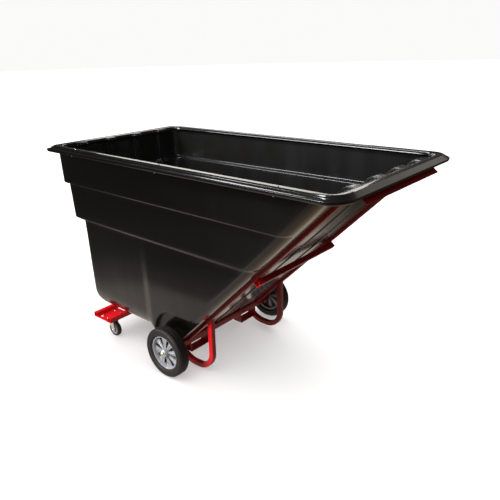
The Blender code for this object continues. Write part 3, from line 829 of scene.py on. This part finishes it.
def build_base():
    start_x = CASTER_TUBE_XS[1] + SLIM_TUBE / 2 + GAP
    end_x = AXLE_X - TUBE / 2 - GAP
    (rear, front), (low, high) = MOUNT_XS, MOUNT_YS
    corners = [(rear, low), (front, low), (front, high), (rear, high)]
    for name, side in SIDES:
        y = side * BASE_RAIL_Y
        stations = [((x, y, BASE_RAIL_Z), (1, 0, 0), None) for x in (start_x, end_x)]
        rail = Shape().square_tube(stations, TUBE, TUBE_WALL)
        place(rail, f"floor_rail_{name}", "truck", PAINT, [f"base_rail_{name}"])
        plate = Shape().prism([(x, side * y) for x, y in corners], *MOUNT_ZS, axis="Z")
        place(plate, f"mount_{name}", "truck", PAINT, [f"caster_mount_{name}"], bevel=0.0010)
    for name, x in zip(("rear", "front"), CASTER_TUBE_XS):
        tube = tube_along_y(x, CASTER_TUBE_Z, CASTER_TUBE_HALF, SLIM_TUBE)
        place(tube, f"caster_beam_{name}", "truck", PAINT, [f"caster_tube_{name}"])


def build_welds():
    """Beads beside the rails, the loops, the floor rails, the caster mounts and the fork pockets."""
    welds = Shape()
    mount_z = MOUNT_ZS[1]
    for _, side in SIDES:
        for edge in (-1, 1):
            y = side * RAIL_Y + edge * (TUBE / 2 + 0.001)
            welds.bead([(AXLE_X - 0.016, y, 0.1716), (AXLE_X + 0.016, y, 0.1716)], 0.0030)
            y = side * LOOP_Y + edge * SLIM_TUBE / 2
            top = LOOP_FRONT_X - RAIL_FACE_X
            reach = SLIM_TUBE / 2 - 0.002
            ends = [(LOOP_FRONT_X + step, y, top + step) for step in (-reach, reach)]
            welds.bead(ends, 0.0028)
            y = side * RAIL_Y + edge * (TUBE / 2 - 0.001)
            x = MID_MEMBER_Z + RAIL_FACE_X
            welds.bead([(x - 0.024, y, MID_MEMBER_Z - 0.024), (x - 0.003, y, MID_MEMBER_Z - 0.003)], 0.0026)
            y = side * BASE_RAIL_Y + edge * (TUBE / 2 + 0.0005)
            for x in (AXLE_X - TUBE / 2, CASTER_TUBE_XS[1] + SLIM_TUBE / 2):
                welds.bead([(x, y, 0.138), (x, y, 0.170)], 0.0026)
        for x in MOUNT_XS:
            for start, end in ((0.330, 0.365), (0.415, 0.450)):
                welds.bead([(x, side * start, mount_z), (x, side * end, mount_z)], 0.0026)
        for y in POCKET_YS:
            welds.bead([(-0.151, side * y, 0.1332), (-0.120, side * y, 0.1332)], 0.0028)
    place(welds, "weld_beads", "truck", PAINT)


# ---- main wheels
def mirrored(profile):
    return profile + [(r, -d) for r, d in reversed(profile)]


def around_axle(profile, side=1, steps=40):
    return Shape().turned([(r, side * d) for r, d in profile], AXLE, steps=steps)


def tyre_profile():
    """Half a tyre's section from the bead to the middle of the tread: (radius, distance)."""
    side = fillet([
        (0.1049, 0.0285),
        (0.1080, 0.0300, 0.001),
        (0.1120, 0.0345, 0.002),
        (0.1240, 0.0358, 0.004),
        (0.1262, 0.0348, 0.001),
        (0.1290, 0.0362, 0.002),
        (0.1400, 0.0365, 0.006),
        (0.1478, 0.0310, 0.006),
        (0.1500, 0.0255),
    ])
    tread = []
    for start in (0.0230, 0.0125):
        tread += [
            (0.1514, start + 0.0016), (0.1512, start), (0.1482, start - 0.0004),
            (0.1482, start - 0.0024), (0.1513, start - 0.0028),
        ]
    tread += [(0.1522, 0.0060), (0.1523, 0.0022), (0.1494, 0.0016)]
    return side + tread


def add_spoke(hub, angle, side):
    """A crowned blade that widens into the rim and is dished toward it."""
    out = Vector((math.cos(angle), 0, math.sin(angle)))
    across = Vector((-math.sin(angle), 0, math.cos(angle)))
    rings = []
    for radius, spread, face, thick in (
        (0.0240, 0.0078, 0.4965, 0.0240),
        (0.0340, 0.0096, 0.4955, 0.0200),
        (0.0480, 0.0125, 0.4935, 0.0175),
        (0.0640, 0.0163, 0.4915, 0.0160),
        (0.0780, 0.0203, 0.4905, 0.0150),
        (0.0880, 0.0245, 0.4905, 0.0150),
        (0.0945, 0.0290, 0.4910, 0.0160),
    ):
        section = [
            (-spread, face - 0.0052), (-spread * 0.90, face - 0.0022), (-spread * 0.28, face - 0.0008),
            (-spread * 0.16, face + 0.0016), (0.0, face + 0.0022), (spread * 0.16, face + 0.0016),
            (spread * 0.28, face - 0.0008), (spread * 0.90, face - 0.0022), (spread, face - 0.0052),
            (spread * 0.7, face - thick), (-spread * 0.7, face - thick),
        ]
        middle = Vector(AXLE) + out * radius
        rings.append([middle + across * s + Vector((0, side * d, 0)) for s, d in section])
    hub.loft(rings)


def build_wheels():
    rim = [
        (0.0925, 0.4565), (0.0940, 0.4560), (0.1030, 0.4560), (0.1045, 0.4575), (0.1045, 0.5045),
        (0.1035, 0.5060), (0.1005, 0.5066), (0.0975, 0.5060), (0.0960, 0.5040), (0.0925, 0.4880),
    ]
    boss = [
        (0.0101, 0.4592), (0.0262, 0.4592), (0.0270, 0.4600), (0.0270, 0.4960),
        (0.0262, 0.5100), (0.0245, 0.5120), (0.0101, 0.5120),
    ]
    (near, far), (back, face) = WEB_RADII, WEB_YS
    web = [(near, back), (far, back), (far, face), (near, face)]
    for name, side in SIDES:
        body = f"{name}_wheel"
        tyre = Shape().turned(mirrored(tyre_profile()), (AXLE_X, side * WHEEL_Y, AXLE_Z), steps=128)
        place(tyre, f"wheel_tyre_{name}", body, TYRE, [f"tyre_{name}"])
        hub = around_axle(rim, side, 96)
        hub.turned([(r, side * d) for r, d in boss], AXLE, steps=48)
        for index in range(SPOKES):
            add_spoke(hub, math.radians(SPOKE_TURN + 360 / SPOKES * index), side)
        place(hub, f"wheel_centre_{name}", body, CENTRE, [f"hub_{name}"], sharp=40)
        place(around_axle(web, side, 96), f"wheel_web_{name}", body, TYRE)


def hexagon(radius, turn):
    angles = [turn + math.pi / 3 * i for i in range(6)]
    return [(radius * math.cos(a), radius * math.sin(a)) for a in angles]


def build_axle():
    rod = [(0.0080, -0.5280), (0.0095, -0.5262), (0.0095, 0.5262), (0.0080, 0.5280)]
    place(Shape().turned(rod, AXLE, steps=40, bored=False), "axle_rod", "truck", STEEL, ["axle"])
    inner = HOUSING_HALF - 0.030
    bush = [(0.0098, inner), (0.0157, inner), (0.0157, HOUSING_HALF), (0.0098, HOUSING_HALF)]
    washer = [(0.0100, 0.4556), (0.0190, 0.4556), (0.0190, 0.4586), (0.0100, 0.4586)]
    cap = fillet([
        (0.0098, 0.5140), (0.0212, 0.5140, 0.0006), (0.0226, 0.5152, 0.0008), (0.0212, 0.5166, 0.001),
        (0.0180, 0.5172, 0.002), (0.0158, 0.5215, 0.003), (0.0142, 0.5245, 0.002), (0.0098, 0.5252),
    ])
    for name, side in SIDES:
        place(around_axle(bush, side), f"bush_{name}", "truck", BUSHING, [f"axle_bush_{name}"], bevel=0.0006)
        ring = around_axle(washer, side, 48)
        place(ring, f"inner_washer_{name}", "truck", ZINC, [f"axle_washer_{name}"], bevel=0.0004)
        cover = around_axle(cap, side, 56)
        place(cover, f"push_cap_{name}", f"{name}_wheel", ZINC, [f"hub_cap_{name}"])


# ---- casters
def bolt_points(side):
    for dx in (-0.5, 0.5):
        for dy in (-0.5, 0.5):
            yield SWIVEL_X + dx * BOLT_PITCH[0], side * SWIVEL_Y + dy * BOLT_PITCH[1]


def build_bolts():
    """Each a head over the mount and a nut under the caster's plate, with a washer at both."""
    head_z = MOUNT_ZS[1]
    nut_z = PLATE_ZS[0] - 0.0016
    washer = [(0.0051, 0.0), (0.0095, 0.0), (0.0095, WASHER), (0.0051, WASHER)]
    shank = [(0.0042, 0.1262), (0.0050, 0.1270), (0.0050, 0.1470)]
    for name, side in SIDES:
        for index, (x, y) in enumerate(bolt_points(side)):
            turn = 0.35 + index * 0.6
            bolt = Shape()
            for base, height in ((head_z + WASHER, 0.0046), (nut_z, -0.0064)):
                rings = []
                for radius, share in ((0.0080, 0.0), (0.0080, 0.82), (0.0070, 1.0)):
                    rings.append([(x + a, y + b, base + height * share) for a, b in hexagon(radius, turn)])
                bolt.loft(rings)
            for z in (head_z, nut_z):
                bolt.turned(washer, (x, y, z), axis="Z", steps=24)
            bolt.turned(shank, (x, y, 0), axis="Z", steps=20, bored=False)
            number = f"bolt_{name}_{index + 1}"
            place(bolt, number, "truck", ZINC, [f"mount_{number}"], bevel=0.0004)


def build_caster_head(name, side):
    x, y = SWIVEL_X, side * SWIVEL_Y
    outline = [(x + a, y + b) for a, b in rounded_rectangle(0.042, 0.062, 0.008, 6)]
    plate = Shape().prism(outline, *PLATE_ZS, axis="Z")
    place(plate, f"top_plate_{name}", "truck", ZINC, [f"caster_plate_{name}"], bevel=0.0005)
    section = fillet([
        (0.0140, 0.1275), (0.0250, 0.1275, 0.002), (0.0285, 0.1295, 0.002), (0.0290, 0.1347),
        (0.0140, 0.1347),
    ])
    race = Shape().turned(section, (x, y, 0), axis="Z", steps=48)
    place(race, f"ball_race_{name}", "truck", ZINC, [f"caster_race_{name}"])
    section = [(0.0085, 0.1092), (0.0100, 0.1105), (0.0100, 0.1140), (0.0060, 0.1140), (0.0060, 0.1385)]
    pin = Shape().turned(section, (x, y, 0), axis="Z", steps=32, bored=False)
    place(pin, f"king_bolt_{name}", "truck", ZINC, [f"kingpin_{name}"])


def build_fork(name, side):
    """Pressed swivel fork: a domed crown and two raked legs with rounded edges."""
    x, y = SWIVEL_X, side * SWIVEL_Y
    wheel_x, wheel_z = x + TRAIL, CASTER_RADIUS
    crown = fillet([
        (0.0070, 0.1150), (0.0265, 0.1150, 0.002), (0.0318, 0.1170, 0.003), (0.0310, 0.1235, 0.004),
        (0.0250, 0.1265, 0.002), (0.0070, 0.1265),
    ])
    fork = Shape().turned(crown, (x, y, 0), axis="Z", steps=56)
    outline = fillet([
        (x - 0.0260, 0.1180),
        (x - 0.0250, 0.1040, 0.012),
        (wheel_x - 0.0150, wheel_z + 0.008, 0.010),
        (wheel_x - 0.0130, wheel_z - 0.012, 0.010),
        (wheel_x + 0.0130, wheel_z - 0.013, 0.012),
        (wheel_x + 0.0150, wheel_z + 0.006, 0.010),
        (x + 0.0330, 0.1000, 0.012),
        (x + 0.0270, 0.1180),
        (x + 0.0100, 0.1190),
        (x - 0.0250, 0.1185),
    ], 5)
    for inner in (0.0185, -0.0215):
        fork.prism(outline, y + inner, y + inner + 0.0030)
    place(fork, f"fork_{name}", f"{name}_swivel", ZINC, [f"caster_fork_{name}"], bevel=0.0006)


def build_caster_wheel(name, side):
    x, y, z = SWIVEL_X + TRAIL, side * SWIVEL_Y, CASTER_RADIUS
    body = f"{name}_caster_wheel"
    half = fillet([
        (0.0372, 0.0145), (0.0405, 0.0150, 0.001), (0.0455, 0.0155, 0.004), (0.0490, 0.0110, 0.004),
        (CASTER_RADIUS, 0.0040),
    ])
    tyre = Shape().turned(mirrored(half), (x, y, z), steps=80)
    place(tyre, f"caster_tread_{name}", body, CASTER_RUBBER, [f"caster_tyre_{name}"])
    half = fillet([
        (0.0050, 0.0170), (0.0112, 0.0170, 0.001), (0.0130, 0.0100, 0.002), (0.0315, 0.0090, 0.002),
        (0.0332, 0.0138, 0.001), (0.0368, 0.0140), (0.0369, 0.0020),
    ])
    core = Shape().turned(mirrored(half), (x, y, z), steps=64)
    place(core, f"caster_wheel_{name}", body, CASTER_CENTRE, [f"caster_core_{name}"])
    shank = [(0.0036, -0.0268), (0.0043, -0.0260), (0.0043, 0.0272), (0.0036, 0.0280)]
    pin = Shape().turned(shank, (x, y, z), steps=24, bored=False)
    for near, far in ((0.0220, 0.0272), (-0.0220, -0.0262)):
        rings = []
        for radius, share in ((0.0078, 0.0), (0.0078, 0.8), (0.0068, 1.0)):
            rings.append([(x + a, y + near + (far - near) * share, z + b) for a, b in hexagon(radius, 0.4)])
        pin.loft(rings)
    place(pin, f"caster_bolt_{name}", f"{name}_swivel", ZINC, [f"caster_axle_{name}"], bevel=0.0004)


# ---- studio
def stage_mesh(name, vertices, faces, material, camera=True):
    """A piece of the studio that only the camera sees, or only reflections."""
    mesh = bpy.data.meshes.new(name)
    mesh.from_pydata(vertices, [], faces)
    mesh.materials.append(material)
    obj = new_object(name, mesh)
    obj.visible_camera = camera
    obj.visible_glossy = not camera
    obj.visible_diffuse = False
    obj.visible_shadow = False
    obj.visible_transmission = False
    obj.visible_volume_scatter = False
    return obj


def level_square(reach, z):
    return [(-reach, -reach, z), (reach, -reach, z), (reach, reach, z), (-reach, reach, z)]


def glowing(name, colour, strength):
    material = bpy.data.materials.new(name)
    material.use_nodes = True
    shader = material.node_tree.nodes["Principled BSDF"]
    shader.inputs["Base Color"].default_value = (0, 0, 0, 1)
    shader.inputs["Emission Color"].default_value = (*colour, 1)
    shader.inputs["Emission Strength"].default_value = strength
    return material


def build_floor():
    paper = bpy.data.materials.new("Pale floor")
    paper.use_nodes = True
    shader = paper.node_tree.nodes["Principled BSDF"]
    shader.inputs["Base Color"].default_value = (0.90, 0.89, 0.88, 1)
    shader.inputs["Roughness"].default_value = 0.9
    shader.inputs["Specular IOR Level"].default_value = 0.0
    return stage_mesh("floor", level_square(FLOOR_REACH, 0), [(0, 1, 2, 3)], paper)


def build_backdrop():
    """A pale wall all round and a ceiling, far off."""
    count = BACKDROP_SIDES
    angles = [2 * math.pi * i / count for i in range(count)]
    around = [(BACKDROP_RADIUS * math.cos(a), BACKDROP_RADIUS * math.sin(a)) for a in angles]
    vertices = [(x, y, z) for z in (-0.5, BACKDROP_HEIGHT) for x, y in around]
    faces = [(i, (i + 1) % count, count + (i + 1) % count, count + i) for i in range(count)]
    faces.append(tuple(range(count, 2 * count)))
    stage_mesh("backdrop", vertices, faces, glowing("Pale wall", (1.0, 0.995, 0.99), 0.96))


def build_painted_reflection():
    """A glowing sheet just under the floor, seen only in reflections: a painted reflection of a lit floor,
    warmer ahead and fading away from the truck.
    """
    # Painted reflection: this emission is not a lamp and only shows up in the tub's gloss
    material = glowing("Lit floor", (1.0, 0.86, 0.70), 1.0)
    tree = material.node_tree
    shader = tree.nodes["Principled BSDF"]
    here = tree.nodes.new("ShaderNodeTexCoord").outputs["Object"]
    mapping = tree.nodes.new("ShaderNodeMapping")
    mapping.inputs["Scale"].default_value = PAINTED_REFLECTION_SCALE
    tree.links.new(here, mapping.inputs["Vector"])
    gradient = tree.nodes.new("ShaderNodeTexGradient")
    gradient.gradient_type = "SPHERICAL"
    tree.links.new(mapping.outputs["Vector"], gradient.inputs["Vector"])
    # Painted reflection brightness: strongest near the truck, a darker ring round it, dimmer far off
    fade = ((0.0, 0.05), (0.16, 0.02), (0.35, 0.13), (0.50, 0.58))
    strength = add_ramp(tree, gradient.outputs["Fac"], fade, "EASE")
    tree.links.new(strength, shader.inputs["Emission Strength"])
    along = tree.nodes.new("ShaderNodeSeparateXYZ")
    tree.links.new(here, along.inputs["Vector"])
    # Painted reflection colour: warmer toward the dump end
    warmth = ((0.1, (1.0, 0.86, 0.76)), (0.9, (1.0, 0.74, 0.46)))
    tree.links.new(add_ramp(tree, along.outputs["X"], warmth), shader.inputs["Emission Color"])
    square = level_square(PAINTED_REFLECTION_REACH, PAINTED_REFLECTION_Z)
    stage_mesh("reflector", square, [(0, 1, 2, 3)], material, camera=False)


def add_light(name, kind, location, target, power, colour):
    light = bpy.data.lights.new(name, kind)
    light.energy = power
    light.color = colour
    obj = new_object(name, light)
    obj.location = location
    obj.rotation_euler = (Vector(target) - Vector(location)).to_track_quat("-Z", "Y").to_euler()
    obj.visible_camera = False
    return obj


def softbox(name, location, target, size, power, colour):
    obj = add_light(name, "AREA", location, target, power, colour)
    obj.data.shape = "RECTANGLE"
    obj.data.size, obj.data.size_y = size
    return obj


def spare(light, objects):
    """The light misses these objects."""
    missed = bpy.data.collections.new(f"missed by {light.name}")
    for index, obj in enumerate(objects):
        missed.objects.link(obj)
        missed.collection_objects[index].light_linking.link_state = "EXCLUDE"
    light.light_linking.receiver_collection = missed


def only(light, objects):
    """The light reaches nothing but these objects."""
    lit = bpy.data.collections.new(f"lit by {light.name}")
    for obj in objects:
        lit.objects.link(obj)
    light.light_linking.receiver_collection = lit


def build_world():
    world = bpy.data.worlds.new("Studio")
    bpy.context.scene.world = world
    world.use_nodes = True
    background = world.node_tree.nodes["Background"]
    background.inputs["Color"].default_value = (1.0, 0.97, 0.94, 1)
    background.inputs["Strength"].default_value = 0.06


def light_tub(tub):
    """Five softboxes for the black tub alone: along the inside, from the front, and over the rim."""
    inner = softbox("inner", (-0.4, -0.62, 2.0), (0.0, 0.5, 0.95), (2.4, 0.5), 26, (0.94, 0.96, 1.0))
    inner.data.spread = math.radians(70)
    front = softbox("front", (1.7, -2.4, 2.3), (-0.6, 0.0, 0.9), (0.9, 0.9), 42, (1.0, 0.98, 0.95))
    back = softbox("back", (-3.9, 4.3, 2.9), (0.0, 0.0, 1.2), (4.5, 1.2), 40, (1.0, 0.94, 0.85))
    high = softbox("high", (-2.6, 2.3, 3.9), (0.5, -0.5, 1.2), (1.3, 0.9), 26, (0.98, 0.97, 1.0))
    right = softbox("back_right", (1.7, 4.3, 3.4), (0.9, 0.0, 1.2), (3.0, 1.3), 9, (1.0, 0.93, 0.84))
    for light in (inner, front, back, high, right):
        only(light, [tub])


def light_frame(floor, tub):
    """Two softboxes for the frame and the wheels on the near side."""
    missed = [floor, tub] + [obj for obj in bpy.data.objects if obj.name in SHADED]
    key = softbox("key", (-0.6, -3.6, 2.2), (0.0, 0.0, 0.3), (2.2, 1.2), 205, (1.0, 0.98, 0.95))
    rear = softbox("rear", (-3.6, -1.6, 2.4), (-0.7, -0.3, 0.2), (1.2, 1.0), 80, (1.0, 0.98, 0.96))
    spare(key, missed)
    spare(rear, missed)


def light_floor(floor):
    """A soft wash that leaves the truck's faint shadow, and a fill that casts none."""
    for name, strength, casts in (("floor_wash", 2.2, True), ("floor_fill", 3.2, False)):
        wash = add_light(name, "SUN", (0, 0, 5), (0, 0, 0), strength, (1.0, 1.0, 1.0))
        wash.data.angle = math.radians(WASH_SPREAD)
        wash.data.use_shadow = casts
        only(wash, [floor])


def build_studio():
    floor = build_floor()
    build_backdrop()
    build_painted_reflection()
    build_world()
    tub = bpy.data.objects["tub_shell"]
    light_tub(tub)
    light_frame(floor, tub)
    light_floor(floor)


def build_camera():
    data = bpy.data.cameras.new("camera")
    data.sensor_width = 36.0
    data.lens = 38.54
    data.clip_end = 200.0
    camera = new_object("camera", data)
    forward = Vector((-0.6083, 0.7097, -0.3554)).normalized()
    right = Vector((0.7648, 0.6439, -0.0231))
    right = (right - forward * right.dot(forward)).normalized()
    up = right.cross(forward)
    axes = Matrix((right, up, -forward)).transposed().to_4x4()
    camera.matrix_world = Matrix.Translation((2.0154, -2.2228, 1.8075)) @ axes
    bpy.context.scene.camera = camera
    bpy.context.scene.view_settings.view_transform = "Standard"


build_tub()
build_rivets()
build_rails()
build_cross_members()
build_loops()
build_pockets()
build_base()
build_welds()
build_wheels()
build_axle()
build_bolts()
for caster, caster_side in SIDES:
    build_caster_head(caster, caster_side)
    build_fork(caster, caster_side)
    build_caster_wheel(caster, caster_side)
build_studio()
build_camera()

bpy.context.view_layer.update()
